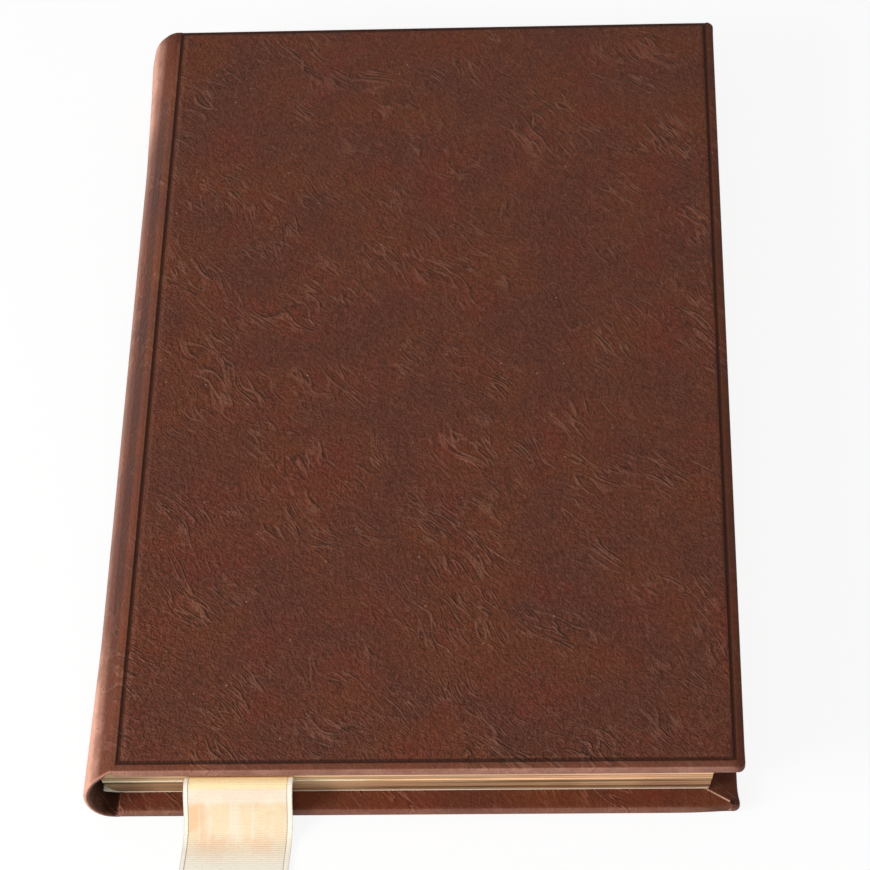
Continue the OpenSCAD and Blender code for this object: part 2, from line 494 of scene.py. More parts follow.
class ShaderShop:
    """Builds the nodes of one material or world.

    Args:
        name: Its name.
        makers: Where it is made, the file's materials unless it is a world.
        bends: Whether its pattern follows the places at rest of a piece that bends.
    """

    def __init__(self, name: str, makers: object = None, bends: bool = False) -> None:
        self.material = (bpy.data.materials if makers is None else makers).new(name)
        self.material.use_nodes = True
        self.tree = self.material.node_tree
        self.tree.nodes.clear()
        if bends:
            self.place = self.node("ShaderNodeAttribute", {"attribute_name": REST}).outputs["Vector"]
        else:
            here = self.node("ShaderNodeTexCoord").outputs["Object"]
            scaled = self.node("ShaderNodeVectorMath", {"operation": "SCALE"}, {0: here, "Scale": 1.0 / MM})
            self.place = scaled.outputs[0]
        axes = self.node("ShaderNodeSeparateXYZ", {}, {0: self.place})
        self.x, self.y, self.z = (Value(self, axes.outputs[i]) for i in range(3))

    def node(
        self, kind: str, settings: dict[str, object] | None = None, inputs: dict[object, object] | None = None
    ) -> bpy.types.Node:
        """Adds any node.

        Args:
            kind: The node's type.
            settings: Its settings, set before its sockets.
            inputs: Socket names or numbers, with values, outputs or Values.

        Returns:
            The node.
        """
        made = self.tree.nodes.new(kind)
        for key, value in (settings or {}).items():
            setattr(made, key, value)
        for key, value in (inputs or {}).items():
            socket = made.inputs[key]
            value = value.socket if isinstance(value, Value) else value
            if isinstance(value, bpy.types.NodeSocket):
                self.tree.links.new(value, socket)
            else:
                socket.default_value = value
        return made

    def value(self, output: bpy.types.NodeSocket) -> Value:
        """Wraps an output as a number."""
        return Value(self, output)

    def vector(self, operation: str, first: object, second: object) -> bpy.types.NodeSocket:
        """Adds a Vector Math node on two vectors."""
        return self.node("ShaderNodeVectorMath", {"operation": operation}, {0: first, 1: second}).outputs[0]

    def turned(
        self, degrees: float, scale: tuple[float, float, float], at: object = None
    ) -> bpy.types.NodeSocket:
        """Turns the place about Z and scales it, for a pattern with a direction.

        Args:
            degrees: How far the pattern is turned.
            scale: Its scale along and across that direction, and upwards.
            at: The place to start from, or None for the piece's own.

        Returns:
            The vector output.
        """
        turned = self.node(
            "ShaderNodeMapping",
            {"vector_type": "POINT"},
            {"Vector": at or self.place, "Rotation": (0.0, 0.0, math.radians(-degrees))},
        ).outputs[0]
        return self.vector("MULTIPLY", turned, scale)

    def noise(
        self, at: bpy.types.NodeSocket, scale: float, detail: float = 3.0, rough: float = 0.55
    ) -> Value:
        """Adds a noise with values round 0.5."""
        inputs = {"Vector": at, "Scale": scale, "Detail": detail, "Roughness": rough}
        return Value(self, self.node("ShaderNodeTexNoise", {"noise_dimensions": "3D"}, inputs).outputs[0])

    def warped(self, at: bpy.types.NodeSocket, scale: float, amount: float) -> bpy.types.NodeSocket:
        """Bends a place by a noise.

        Args:
            at: The place.
            scale: The noise's scale.
            amount: How far places move, in the place's own unit.

        Returns:
            The bent place.
        """
        push = self.node(
            "ShaderNodeTexNoise", {"noise_dimensions": "3D"}, {"Vector": at, "Scale": scale, "Detail": 2.0}
        ).outputs[1]
        centred = self.vector("SUBTRACT", push, (0.5, 0.5, 0.5))
        scaled = self.node("ShaderNodeVectorMath", {"operation": "SCALE"}, {0: centred, "Scale": amount})
        return self.vector("ADD", at, scaled.outputs[0])

    def cells(self, at: bpy.types.NodeSocket, scale: float, feature: str) -> Value:
        """Adds a cell pattern; with F1 its distance, else the distance to the cells' edges."""
        made = self.node("ShaderNodeTexVoronoi", {"feature": feature}, {"Vector": at, "Scale": scale})
        return Value(self, made.outputs["Distance"])

    def coats(self, tone: object, *layers: tuple[object, Colour]) -> bpy.types.NodeSocket:
        """Lays colours over a tone, one after another.

        Args:
            tone: The colour or output below.
            *layers: How much of each colour covers what is below it, and the display colour.

        Returns:
            The colour output.
        """
        settings = {"data_type": "RGBA", "blend_type": "MIX", "clamp_result": True}
        for amount, colour in layers:
            tone = self.node("ShaderNodeMix", settings, {0: amount, 6: tone, 7: srgb(*colour)}).outputs[2]
        return tone

    def seen_white(self) -> Value:
        """Gives 1 where the camera, a reflection or glass looks straight at the background."""
        path = self.node("ShaderNodeLightPath").outputs
        seen = self.value(path["Is Camera Ray"]).above(self.value(path["Is Glossy Ray"]))
        return seen.above(self.value(path["Is Transmission Ray"]))

    def veins(
        self, at: bpy.types.NodeSocket, scale: float, width: float, detail: float = 2.0, rough: float = 0.5
    ) -> Value:
        """Adds thin ridges, 1 on their crests, where a noise passes its middle."""
        return (1.0 - abs(self.noise(at, scale, detail, rough) - 0.5) * (1.0 / width)).above(0.0)

    def between(self, factor: Value, low: float, high: float) -> Value:
        """Gives low at 0 and high at 1."""
        return factor * (high - low) + low

    def bump(self, height: Value, distance: float) -> bpy.types.NodeSocket:
        """Adds a bump whose height is in millimetres times distance."""
        inputs = {"Height": height, "Distance": distance * MM, "Strength": 1.0}
        return self.node("ShaderNodeBump", {}, inputs).outputs[0]

    def surface(self, **sockets: object) -> bpy.types.Material:
        """Adds the Principled shader and the output.

        Args:
            **sockets: Its sockets, with _ for a space.

        Returns:
            The finished material.
        """
        inputs = {name.replace("_", " "): value for name, value in sockets.items()}
        shader = self.node("ShaderNodeBsdfPrincipled", {}, inputs)
        self.node("ShaderNodeOutputMaterial", {}, {0: shader.outputs[0]})
        return self.material


# ---------------------------------------------------------------- finishes


@dataclass(frozen=True)
class LeatherFinish:
    """Reddish-brown smooth-grain leather with slanting creases and tooled lines, with light and shade painted
    into its colour in places.
    """

    base: Colour = (102, 53, 32)
    warm: Colour = (107, 47, 32)
    cool: Colour = (91, 48, 35)
    pale: Colour = (150, 104, 84)
    fleck: Colour = (190, 150, 130)
    # colour of the painted highlight on the spine's side and on the covers' head and tail edges
    painted_sheen: Colour = (198, 146, 126)
    # pale raw edge of the mitre, lightened as a painted highlight where light catches it
    raw_glint: Colour = (214, 172, 150)
    dark: Colour = (40, 20, 12)
    # painted shade in the small hole at a mitre's tip
    hole_shade: Colour = (18, 9, 6)
    shine: float = 0.1
    s: Sizes = SIZES

    def frame_distance(self, shop: ShaderShop, left: float) -> Value:
        """Gives the signed distance from the tooled line's middle, in millimetres.

        Args:
            shop: The material being built.
            left: The cover's joint edge.

        Returns:
            The distance, positive outside the frame.
        """
        s = self.s
        centre = left + s.cover_w / 2
        across = abs(shop.x - centre) - (s.cover_w / 2 - s.line_inset)
        tail = -shop.y - (s.cover_h / 2 - s.line_inset)
        head = shop.y - (s.cover_h / 2 - s.line_head)
        return across.above(tail).above(head)

    def material(self, name: str, left: float, outer_z: float) -> bpy.types.Material:
        """Builds the leather of one part of the covering.

        Args:
            name: The material's name.
            left: The joint edge of the cover that carries the tooled line.
            outer_z: The height of that cover's outer face.

        Returns:
            The material.
        """
        s = self.s
        shop = ShaderShop(name, bends=True)
        patches = shop.noise(shop.place, 0.045, 3.0, 0.55)
        drift = shop.warped(shop.place, 0.03, 22.0)
        slanted = shop.warped(shop.turned(-48.0, (0.2, 1.0, 0.6), drift), 0.3, 1.1)
        folds = shop.noise(slanted, 0.38, 1.5, 0.5)
        where = shop.noise(shop.place, 0.05, 2.0, 0.5).step(0.42, 0.62)
        broken = shop.noise(shop.place, 0.16, 2.0, 0.5).step(0.36, 0.56)
        crease = (1.0 - abs(folds - 0.5) * 16.0).above(0.0) * where * broken
        valley = (folds - 0.53).above(0.0) * (0.61 - folds).above(0.0) * 500.0 * where * broken
        curly = shop.warped(shop.turned(-45.0, (0.75, 1.0, 0.9)), 0.6, 1.1)
        threads = shop.veins(curly, 0.62, 0.05, 1.5, 0.5)
        grain = shop.noise(shop.warped(shop.place, 0.8, 0.7), 0.85, 4.0, 0.7)
        net = shop.cells(shop.warped(shop.turned(-45.0, (0.8, 1.0, 0.9)), 1.0, 0.7), 0.72, "DISTANCE_TO_EDGE")
        net = net.step(0.2, 0.02)
        fine = shop.noise(shop.place, 2.8, 2.0, 0.6)

        line = self.frame_distance(shop, left)
        face = abs(shop.z - outer_z).step(1.0, 0.6) * (shop.x - (left + s.lip_run)).step(-0.4, 0.1)
        groove = abs(line).step(0.66, 0.3) * face
        worked = shop.between(line.step(0.4, -1.0) * face, 0.4, 1.0)
        margin = line.step(0.35, 0.75) * face
        # lit: painted highlight on the spine-side and tail margins, which face the light; the fore and head
        # margins get painted shade instead
        lit = margin * (shop.x - (left + s.cover_w - s.line_inset)).step(0.4, -0.4)
        lit = lit * shop.y.step(s.cover_h / 2 - 3.0, s.cover_h / 2 - s.square)
        # light line just inside the tooled line at the spine side: partly burnished leather, partly a painted
        # highlight on the groove's lit wall
        burnish_and_glint = abs(line + 1.25).step(0.45, 0.1) * face * shop.x.step(left + 6.0, left + 4.5)
        height = abs(shop.z - s.mid_z)
        # lip: painted shade on the joint's slope from the board down to the spine, weaker towards head and
        # tail
        lip = (shop.x - left).step(-0.1, -0.7) * height.step(s.mid_z - 3.9, s.mid_z - 3.2)
        lip = lip * height.step(s.mid_z + 0.1, s.mid_z - 0.5)
        out = -shop.x + (left - 2.1)
        end = abs(shop.y).step(s.cover_h / 2 - 52.0, s.cover_h / 2 - 2.0)
        # painted highlight on the spine's side, wider towards head and tail, broken into patches by this
        # noise
        painted_sheen = shop.noise(shop.place, 0.16, 3.0, 0.6).step(0.25, 0.7)
        side = out.step(1.4, 3.8) * (end * 0.5 + 0.35) + out.step(-0.4, 1.6) * end * 0.45
        # edge: painted highlight on the covers' head and tail edges, lighter on the front cover than on the
        # back
        edge = (s.cover_h / 2 - abs(shop.y)).step(0.36, 0.12) * shop.x.step(s.fore_x + 6.0, s.fore_x + 3.0)
        edge = edge * shop.between(shop.z.step(s.mid_z - 1.0, s.mid_z + 1.0), 0.45, 1.0)
        flared = (abs(shop.y) - (s.cover_h / 2 - s.flare_l)).above(0.0)
        widen = flared * (s.spine_flare / s.spine_round / s.flare_l) + 1.0
        rise = (shop.z - s.mid_z) / s.spine_half
        across = ((shop.x - s.spine_x) / widen - rise * (s.spine_lean / 2)) / s.spine_round
        # painted shade inside the spine's hollow, on the inner face of the spine leather
        hollow_shade = (across * across + rise * rise).step(0.88, 0.8) * shop.x.step(left + 0.8, left + 0.2)

        cloud = shop.noise(shop.place, 0.06, 4.0, 0.6).step(0.46, 0.68)
        pits = (0.5 - grain).above(0.0) * 2.3 + (0.5 - fine).above(0.0) * 1.3 + net * 0.15
        specks = shop.cells(shop.warped(shop.place, 2.0, 0.3), 0.21, "F1").step(0.06, 0.03)
        tone = shop.coats(
            srgb(*self.cool),
            (patches.step(0.36, 0.64), self.base),
            (cloud * 0.6, self.warm),
            # dark grain pits and a little darkening outside the frame, with painted shade in the creases'
            # valleys
            ((pits * worked + valley * 0.35).below(0.6) + (1.0 - worked) * 0.1, self.dark),
            # painted highlight on the crease ridges, with pale curly threads
            ((crease * 0.28 + threads * worked * 0.16).below(0.5), self.pale),
            (specks * 0.45, self.fleck),
            # painted highlight on the lit margins, and the partly painted light line inside the tooled line
            (lit * 0.12 + burnish_and_glint * 0.14, self.pale),
            # painted shade on the fore and head margins, which face away from the light
            ((margin - lit) * 0.3, self.dark),
            # painted shade on the joint's slope
            (lip * (1.0 - end * 0.8) * 0.5, self.dark),
            # painted highlight on the spine's side
            ((side * (painted_sheen * 0.6 + 0.5)).below(0.9), self.painted_sheen),
            # painted highlight on the covers' head and tail edges
            (edge * (painted_sheen * 0.22 + 0.24), self.painted_sheen),
            (hollow_shade * 0.75, self.dark),
            *self._mitre(shop, left, outer_z),
            (groove * 0.8, self.dark),
        )
        rough = shop.between(fine, 0.4, 0.56) + groove * 0.12
        calm = 1.0 - margin * 0.5
        relief = threads * 0.25 + grain * 1.2 + fine * 0.4 - net * 0.3
        bumps = (crease * 1.1 - valley * 0.5) * calm * worked + relief * worked
        return shop.surface(
            Base_Color=tone, Roughness=rough, Normal=shop.bump(bumps, 0.4), Specular_IOR_Level=self.shine
        )

    def _mitre(self, shop: ShaderShop, left: float, outer_z: float) -> list[tuple[Value, Colour]]:
        """Gives the coats of the mitre: the pale raw edge where two turn-ins meet, lightened as a painted
        highlight; the painted shade on the darker fore turn-in beside it; and the painted shade of the small
        hole at its tip.
        """
        s = self.s
        inner = abs(shop.z - outer_z).step(s.cover_t - 0.7, s.cover_t - 0.3)
        from_fore = -shop.x + (left + s.cover_w)
        from_end = -abs(shop.y) + s.cover_h / 2
        across = (from_fore - MITRE_AT) * MITRE_SLOPE - (from_end - MITRE_AT)
        nearest = from_fore.below(from_end)
        on_sheet = nearest.step(s.turn_in_w + 0.3, s.turn_in_w) * inner
        # painted shade on the fore turn-in, beyond the mitre's seam
        shade = across.step(0.1, -0.2) * on_sheet
        seam = abs(across).step(0.3, 0.12) * from_fore.step(1.5, 1.9) * on_sheet
        hole = (across * across + (from_fore - MITRE_AT) * (from_fore - MITRE_AT)).step(0.5, 0.12) * inner
        return [(shade * 0.45, self.dark), (seam * 0.85, self.raw_glint), (hole * 0.95, self.hole_shade)]


@dataclass(frozen=True)
class PaperFinish:
    """Plain cream endpaper with a faint tooth."""

    base: Colour = (232, 222, 200)
    shade: Colour = (214, 202, 176)

    def material(self, name: str, bends: bool = False) -> bpy.types.Material:
        """Builds the paper, for a flat leaf or for a fold that bends."""
        shop = ShaderShop(name, bends=bends)
        cloud = shop.noise(shop.place, 0.05, 4.0, 0.6)
        tooth = shop.noise(shop.place, 3.2, 3.0, 0.6)
        fibre = shop.noise(shop.turned(15.0, (0.25, 1.6, 1.0)), 1.4, 2.0)
        tone = shop.coats(
            srgb(*self.base),
            (cloud.step(0.35, 0.7) * 0.7, self.shade),
            (fibre.step(0.6, 0.75) * 0.25, self.shade),
        )
        normal = shop.bump(tooth * 0.6 + fibre * 0.4, 0.03)
        return shop.surface(Base_Color=tone, Roughness=shop.between(tooth, 0.8, 0.9), Normal=normal)


@dataclass(frozen=True)
class BoardFinish:
    """Grey-brown millboard or card."""

    base: Colour = (148, 130, 108)
    fleck: Colour = (104, 90, 74)

    def material(self, name: str) -> bpy.types.Material:
        """Builds the board."""
        shop = ShaderShop(name)
        grain = shop.noise(shop.place, 1.8, 4.0, 0.65)
        flecks = shop.cells(shop.place, 1.2, "F1").step(0.3, 0.15)
        tone = shop.coats(srgb(*self.base), (flecks * 0.5 + grain.step(0.45, 0.7) * 0.3, self.fleck))
        rough = shop.between(grain, 0.8, 0.92)
        return shop.surface(Base_Color=tone, Roughness=rough, Normal=shop.bump(grain, 0.06))


@dataclass(frozen=True)
class ClothFinish:
    """Open-weave cloth and paper glued to the back of the leaves."""

    base: Colour = (176, 164, 138)
    gap: Colour = (120, 108, 86)
    threads: float = 1.1

    def material(self, name: str) -> bpy.types.Material:
        """Builds the lining."""
        shop = ShaderShop(name)
        along = (shop.y * (2 * math.pi * self.threads)).math("SINE")
        upwards = (shop.z * (2 * math.pi * self.threads)).math("SINE")
        weave = (along * upwards) * 0.5 + 0.5
        glue = shop.noise(shop.place, 0.2, 3.0)
        tone = shop.coats(srgb(*self.base), (weave * 0.7 * glue.step(0.3, 0.6), self.gap))
        rough = shop.between(glue, 0.7, 0.9)
        return shop.surface(Base_Color=tone, Roughness=rough, Normal=shop.bump(weave, 0.08))


@dataclass(frozen=True)
class GiltFinish:
    """Page edges gilt on three sides, streaked along the leaves, over cream paper."""

    gold: Colour = (244, 202, 156)
    peach: Colour = (246, 194, 152)
    olive: Colour = (132, 116, 78)
    # colour of the painted shadow of the spine's rim on the leaves' edges
    rim_shadow: Colour = (64, 54, 36)
    paper: Colour = (226, 214, 186)
    s: Sizes = SIZES

    def material(self, name: str) -> bpy.types.Material:
        """Builds the leaves' finish."""
        s = self.s
        shop = ShaderShop(name)
        leaves = shop.vector("MULTIPLY", shop.place, (0.012, 0.012, 1.0))
        bundle = shop.noise(leaves, 0.7, 3.0, 0.6)
        leaf = shop.noise(leaves, 6.0, 2.0, 0.6)
        worn = shop.noise(shop.place, 0.05, 3.0)
        low = shop.z.step(s.ribbon_z + 1.5, s.ribbon_z - 1.5)
        edge = abs(shop.y).step(s.page_h / 2 - 0.9, s.page_h / 2 - 0.5)
        edge = edge.above((shop.x - (s.fore_x - 2.6)).step(0.0, 0.2))
        opening = abs(shop.z - s.ribbon_z).step(0.32, 0.2) * shop.x.step(-8.0, -20.0)
        opening = opening * abs(shop.y).step(s.page_h / 2 - 1.0, s.page_h / 2 - 0.5)
        tone = shop.coats(
            srgb(*self.gold),
            # painted reflection: the gilt turns peach towards the fore edge, where it mirrors the bright
            # table
            (shop.x.step(-35.0, 55.0), self.peach),
            (bundle.step(0.48, 0.62) * (low * 0.6 + 0.3), self.olive),
            (leaf.step(0.5, 0.7) * 0.3, self.olive),
            # painted shadow of the spine's rim, darkening the gilt towards the spine
            (shop.x.step(-56.0, -70.0) * 0.5, self.rim_shadow),
            (opening * 0.75, self.paper),
            (1.0 - edge, self.paper),
        )
        metal = (edge - opening).above(0.0) * (0.75 - worn.step(0.5, 0.75) * 0.25)
        rough = shop.between(leaf, 0.3, 0.45) + (1.0 - edge) * 0.4
        normal = shop.bump(bundle * 0.7 + leaf * 0.3, 0.12)
        return shop.surface(Base_Color=tone, Metallic=metal, Roughness=rough, Normal=normal)


@dataclass(frozen=True)
class SatinFinish:
    """Cream satin ribbon with fine cross ribs, lengthwise sheen and white selvedges."""

    base: Colour = (228, 208, 174)
    peach: Colour = (228, 190, 150)
    gold: Colour = (250, 226, 176)
    white: Colour = (232, 228, 216)
    line: Colour = (168, 156, 134)
    width: float = SIZES.ribbon_w
    crest_z: float = SIZES.ribbon_z + SIZES.ribbon_rise
    selvedge_w: float = 1.15
    rib_pitch: float = 0.55

    def material(self, name: str) -> bpy.types.Material:
        """Builds the satin; U runs across in millimetres and V along."""
        shop = ShaderShop(name)
        cloth = shop.node("ShaderNodeUVMap", {"uv_map": "weave"}).outputs[0]
        parts = shop.node("ShaderNodeSeparateXYZ", {}, {0: cloth})
        across, along = shop.value(parts.outputs[0]), shop.value(parts.outputs[1])
        rim = across.below(self.width - across)
        selvedge = rim.step(self.selvedge_w, self.selvedge_w - 0.2)
        thread = abs(rim - self.selvedge_w).step(0.22, 0.05)
        ribs = (along * (2 * math.pi / self.rib_pitch)).math("SINE") * 0.5 + 0.5
        stretched = shop.vector("MULTIPLY", cloth, (1.0, 0.06, 1.0))
        streak = shop.noise(shop.warped(stretched, 0.5, 0.8), 0.3, 3.0, 0.6)
        cloud = shop.noise(cloth, 0.11, 3.0, 0.6)
        fine = shop.noise(cloth, 2.4, 3.0, 0.7)
        outside = shop.y.step(1.0 - SIZES.page_h / 2, -SIZES.page_h / 2)
        # crest: the ribbon's top as it comes out under the front cover, given painted shade with a gold
        # reflection; band: the bend below it, painted as a highlight; lower: the end lying on the white
        # table, painted lighter
        crest = (shop.z - self.crest_z).step(-0.9, -0.3) * outside
        band = ((shop.z - self.crest_z).step(-4.2, -2.8) * outside - crest).above(0.0)
        lower = shop.y.step(-117.0, -127.0) * 0.9
        tone = shop.coats(
            srgb(*self.base),
            (cloud.step(0.42, 0.6), self.peach),
            # painted highlights: lengthwise sheen streaks, the band on the ribbon's bend and the lighter end
            # on the white table
            ((streak.step(0.46, 0.62) * 0.4).above(lower).above(band * 0.55), self.white),
            # painted shade with a gold reflection from the gilt on the ribbon's crest
            (crest * 0.85, self.gold),
            (ribs * 0.06 + fine.step(0.5, 0.66) * ribs * 0.3, self.line),
            (selvedge * 0.9, self.white),
            ((thread * 0.6).above(rim.step(0.3, 0.0) * 0.5), self.line),
        )
        height = ribs * 0.5 + fine * 0.3 + selvedge * 0.8 - thread * 0.6
        return shop.surface(
            Base_Color=tone, Roughness=shop.between(streak, 0.36, 0.5), Normal=shop.bump(height, 0.06),
            Sheen_Weight=0.15, Sheen_Roughness=0.4, Specular_IOR_Level=0.3,
        )


@dataclass(frozen=True)
class FloorFinish:
    """A plain white table that keeps a soft shadow."""

    tone: Colour = (246, 246, 246)
    glow: float = 0.88

    def material(self, name: str) -> bpy.types.Material:
        """Builds the floor: matt white that shows near white to the camera."""
        shop = ShaderShop(name)
        matt = shop.node("ShaderNodeBsdfDiffuse", {}, {0: srgb(*self.tone)})
        glow = shop.node("ShaderNodeEmission", {}, {0: (1.0, 1.0, 1.0, 1.0), 1: 1.0})
        seen = shop.seen_white() * self.glow
        mixed = shop.node("ShaderNodeMixShader", {}, {0: seen, 1: matt.outputs[0], 2: glow.outputs[0]})
        shop.node("ShaderNodeOutputMaterial", {}, {0: mixed.outputs[0]})
        return shop.material


# ---------------------------------------------------------------- leather pieces


@dataclass
class Column:
    """One line of the leather's outer face that runs from tail to head.

    Attributes:
        x: Its place across the journal.
        z: Its height.
        inward: The unit direction into the journal, x and z.
        board: 1 where it lies on a board, 0 where it is free leather.
        wall: How thick the folded edge is where it is free leather.
        sink: How far the face lies below its nominal height.
        swell: How much of the head's fullness it takes.
    """

    x: float
    z: float
    inward: tuple[float, float]
    board: float
    wall: float
    sink: float = 0.0
    swell: float = 0.0


@dataclass
class Rim:
    """A point on the leather's border, from which the edge is folded over.

    Attributes:
        at: Its place on the outer face, before the face's own sinks.
        out: The direction the fold bulges in.
        inward: The direction into the journal.
        board: 1 where it lies on a board, 0 where it is free leather.
        wall: How thick the fold is where it is free leather.
        sink: How far the face lies below its nominal height.
        kind: Whether it belongs to an end, the fore edge or a corner.
        turn: How far round a corner it is, from -1 at the end to 1 at the fore edge.
        bulk: How far the fold stands out more than usual.
    """

    at: Vector
    out: Vector
    inward: Vector
    board: float
    wall: float
    sink: float
    kind: str
    turn: float = 0.0
    bulk: float = 0.0


@dataclass
class LeatherSkin:
    """A sheet of leather laid on a section curve, its tail, head and fore edges folded over.

    Attributes:
        columns: The section, from the spine side to the fore edge.
        name: The piece's name.
        side: The cover whose tooled line it carries, or None for the spine.
        edge_r: Radius of the folded edge.
        thick: Thickness of the leather as modelled.
        dome: How far the margin outside the tooled line is rounded down at the edge.
        corner_bulk: How far a fore corner is pinched outwards.
        pull_in: How much of that the ends give up beside the corner.
        head_fill: How full the leather stands at the head of the joint.
        fill_from: How far from the head the fullness begins.
        fill_run: Over what length it grows.
        unevenness: Height of the wide and the narrow waves in the leather.
        pressed: How far the table presses the back cover's waves in.
        seam_sink: How deep the mitre's seam lies.
    """

    columns: list[Column]
    name: str
    side: Side | None = None
    edge_r: float = 0.7
    thick: float = 0.35
    dome: float = 0.35
    corner_bulk: float = 0.0
    pull_in: float = 0.9
    head_fill: float = 0.9
    fill_from: float = 22.0
    fill_run: float = 20.0
    unevenness: tuple[float, float] = (0.09, 0.035)
    pressed: float = 0.13
    seam_sink: float = 0.28
    curve: SpineCurve = field(default_factory=SpineCurve)
    s: Sizes = SIZES
    rims: list[Rim] = field(default_factory=list)

    @property
    def fore(self) -> bool:
        """Whether the sheet reaches a fore edge."""
        return self.side is not None

    def rows(self) -> list[float]:
        """Gives the stations from tail to head, close together at the tooled line and the corners."""
        s = self.s
        end = s.cover_h / 2 - self.edge_r
        half = s.line_w / 2
        tail_line = s.cover_h / 2 - s.line_inset
        head_line = s.cover_h / 2 - s.line_head
        tail = spaced(
            (0.0, tail_line - 3.0, 96),
            (tail_line - 3.0, tail_line - half, 3),
            (tail_line - half, tail_line - half + 0.22, 2),
            (tail_line - half + 0.22, tail_line + half - 0.22, 2),
            (tail_line + half - 0.22, tail_line + half, 2),
            (tail_line + half, end, 4),
        )
        head = spaced(
            (0.0, head_line - 3.0, 96),
            (head_line - 3.0, head_line - half, 3),
            (head_line - half, head_line - half + 0.22, 2),
            (head_line - half + 0.22, end, 3),
        )
        return [-v for v in reversed(tail[1:])] + head

    def beyond_line(self, x: float, y: float) -> float:
        """Gives how far a place on a cover lies outside the tooled line's middle."""
        s = self.s
        left = s.joint_edge(self.side)
        across = abs(x - left - s.cover_w / 2) - (s.cover_w / 2 - s.line_inset)
        along = max(-y - s.cover_h / 2 + s.line_inset, y - s.cover_h / 2 + s.line_head)
        return max(across, along)

    def groove(self, x: float, y: float) -> float:
        """Gives the tooled line's depth at a place."""
        s = self.s
        left = s.joint_edge(self.side)
        if self.side is None or x < left + s.lip_run - 0.01:
            return 0.0
        away = abs(self.beyond_line(x, y))
        return s.line_depth * (1.0 - eased((away - s.line_w * 0.2) / (s.line_w * 0.36)))

    def margin_sink(self, x: float, y: float, column: Column) -> float:
        """Gives how far the margin outside the tooled line is rounded down."""
        if self.side is None:
            return 0.0
        beyond = max(0.0, self.beyond_line(x, y)) / self.s.line_inset
        return self.dome * beyond * beyond * column.board + column.sink * (1.0 - column.board)

    def relief(self, x: float, y: float) -> float:
        """Gives the leather's gentle unevenness, in millimetres."""
        wide = noise.noise(Vector((x * 0.028, y * 0.028, 3.7)))
        folds = noise.noise(Vector(((x + y) * 0.10, (x - y) * 0.22, 9.1)))
        pressed = self.pressed if self.side is Side.BACK else 0.0
        return wide * self.unevenness[0] + folds * self.unevenness[1] + pressed

    def outline(self, x: float, y: float) -> tuple[float, float]:
        """Rounds the two corners at the fore edge."""
        if not self.fore:
            return x, y
        s = self.s
        left = s.joint_edge(self.side)
        centre_x = left + s.cover_w - s.corner_r
        centre_y = s.cover_h / 2 - s.corner_r
        over_x, over_y = x - centre_x, abs(y) - centre_y
        if over_x <= 0 or over_y <= 0:
            return x, y
        reach = max(over_x, over_y)
        angle = math.pi / 4 * (over_y / over_x if over_x >= over_y else 2 - over_x / over_y)
        return centre_x + reach * math.cos(angle), math.copysign(centre_y + reach * math.sin(angle), y)

    def build(self) -> bpy.types.Object:
        """Lays the sheet, folds its edges and gives it its thickness."""
        rows = self.rows()
        obj = Bench.grid(self.name, len(self.columns) - 1, len(rows) - 1)
        self._lay(obj, rows)
        self._fold(obj)
        self._thicken(obj)
        return obj

    def _lay(self, obj: bpy.types.Object, rows: list[float]) -> None:
        """Lays the grid on the section and notes its border."""
        s = self.s
        count, ends = len(self.columns) - 1, len(rows) - 1
        tags = [0] * len(obj.data.vertices)
        for vert in obj.data.vertices:
            i = round((vert.co.x + 0.5) * count)
            j = round((vert.co.y + 0.5) * ends)
            column, y = self.columns[i], rows[j]
            x, y = self.outline(column.x, y) if column.board > 0.5 else (column.x, y)
            inward = Vector((column.inward[0], 0.0, column.inward[1]))
            sink = self.groove(column.x, rows[j]) + self.margin_sink(column.x, rows[j], column)
            at = Vector((self.curve.flare(x, y), y, column.z))
            near_head = eased((y - s.cover_h / 2 + self.fill_from) / self.fill_run)
            full = column.swell * self.head_fill * near_head
            at -= inward * full
            at.z = max(0.0, at.z)
            if j in (0, ends) or (self.fore and i == count):
                tags[vert.index] = len(self.rims) + 1
                self.rims.append(self._rim(at, column, sink, full, i == count, j in (0, ends)))
            vert.co = (at + inward * (sink + self.relief(x, y) * self._calm(column, rows[j]))) * MM
        attribute = obj.data.attributes.new("rim", "INT", "POINT")
        attribute.data.foreach_set("value", tags)

    def _calm(self, column: Column, y: float) -> float:
        """Fades the unevenness towards the edges and on the spine."""
        inset = self.s.cover_h / 2 - self.edge_r - abs(y)
        if self.fore:
            inset = min(inset, self.columns[-1].x - column.x)
        return eased(inset / 6.0) * (0.35 + 0.65 * column.board)

    def _rim(self, at: Vector, column: Column, sink: float, full: float, last: bool, end: bool) -> Rim:
        """Describes one point of the border."""
        s = self.s
        left = s.joint_edge(self.side)
        inward = Vector((column.inward[0], 0.0, column.inward[1]))
        centre_x = left + s.cover_w - s.corner_r
        centre_y = s.cover_h / 2 - s.corner_r
        straight = Vector((0.0, math.copysign(1.0, at.y), 0.0))
        rim = Rim(at, straight, inward, column.board, column.wall + full, sink, "end")
        if not self.fore:
            return rim
        away = math.hypot(left + s.cover_w - at.x, s.cover_h / 2 - abs(at.y))
        near, far = math.exp(-((away / 3.2) ** 2)), math.exp(-((away / 6.5) ** 2))
        if at.x > centre_x + 1e-6 and abs(at.y) > centre_y + 1e-6:
            rim.out = Vector((at.x - centre_x, at.y - math.copysign(centre_y, at.y), 0.0)).normalized()
            rim.turn = math.atan2(abs(rim.out.x), abs(rim.out.y)) / (math.pi / 4) - 1.0
            rim.kind = "corner"
        elif last and not end:
            rim.out = Vector((1.0, 0.0, 0.0))
            rim.kind = "fore"
        rim.bulk = self.corner_bulk * (near * abs(rim.out.x) - far * abs(rim.out.y) * self.pull_in)
        return rim

